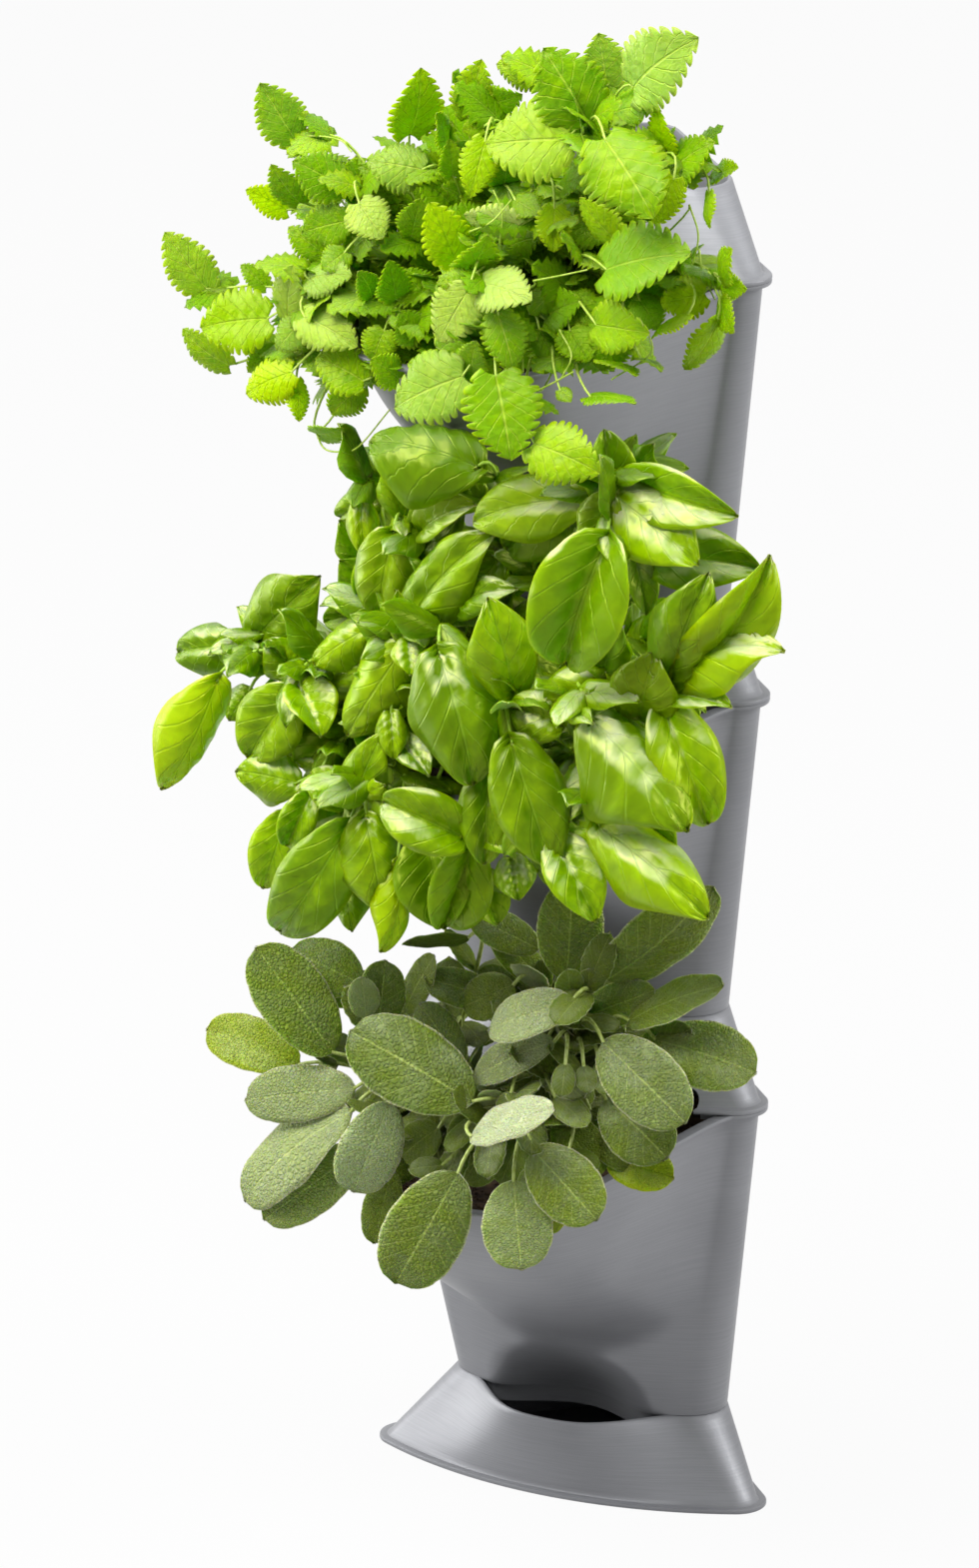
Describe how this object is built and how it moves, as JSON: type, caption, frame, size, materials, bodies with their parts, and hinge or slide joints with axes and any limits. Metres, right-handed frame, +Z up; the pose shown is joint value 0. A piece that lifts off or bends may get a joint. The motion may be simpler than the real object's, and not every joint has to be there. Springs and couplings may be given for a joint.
{
  "type": "vertical corner planter",
  "caption": "Stacked corner planter: quarter-round pots with a swallow's-nest pocket at the front of each, open covers between them and a low foot, planted with herbs.",
  "frame": {"origin": "on the floor where the two room walls' planes meet, at the sharp back corner of the foot's flange", "axes": "+Z up, the front faces -Y, and the room's walls run along (1, -1) and (-1, -1)"},
  "size_m": [0.4273, 0.3582, 0.935],
  "materials": {
    "grey_plastic": "satin",
    "dark_plastic": "matte",
    "potting_soil": "rough",
    "sage": "matte",
    "basil": "glossy",
    "lemon_balm": "satin"
  },
  "bodies": {
    "foot": {"foot": "grey_plastic", "drip_tray": "grey_plastic"},
    "pot_lower": {"pot_lower": "grey_plastic", "drain_grid_lower": "dark_plastic", "soil_lower": "potting_soil", "sage_left": "sage", "sage_right": "sage"},
    "cover_lower": {"cover_lower": "grey_plastic"},
    "pot_middle": {"pot_middle": "grey_plastic", "drain_grid_middle": "dark_plastic", "soil_middle": "potting_soil", "basil_left": "basil", "basil_centre": "basil", "basil_right": "basil"},
    "cover_middle": {"cover_middle": "grey_plastic"},
    "pot_upper": {"pot_upper": "grey_plastic", "drain_grid_upper": "dark_plastic", "soil_upper": "potting_soil", "lemon_balm_left": "lemon_balm", "lemon_balm_centre": "lemon_balm", "lemon_balm_right": "lemon_balm"},
    "cover_upper": {"cover_upper": "grey_plastic"}
  },
  "joints": [
    {"name": "pot_lower_lift", "type": "slide", "parent": "foot", "child": "pot_lower", "axis": [0, 0, 1], "range_m": [0, 0.04]},
    {"name": "cover_lower_lift", "type": "slide", "parent": "pot_lower", "child": "cover_lower", "axis": [0, 0, 1], "range_m": [0, 0.03]},
    {"name": "pot_middle_lift", "type": "slide", "parent": "cover_lower", "child": "pot_middle", "axis": [0, 0, 1], "range_m": [0, 0.04]},
    {"name": "cover_middle_lift", "type": "slide", "parent": "pot_middle", "child": "cover_middle", "axis": [0, 0, 1], "range_m": [0, 0.03]},
    {"name": "pot_upper_lift", "type": "slide", "parent": "cover_middle", "child": "pot_upper", "axis": [0, 0, 1], "range_m": [0, 0.04]},
    {"name": "cover_upper_lift", "type": "slide", "parent": "pot_upper", "child": "cover_upper", "axis": [0, 0, 1], "range_m": [0, 0.03]}
  ]
}
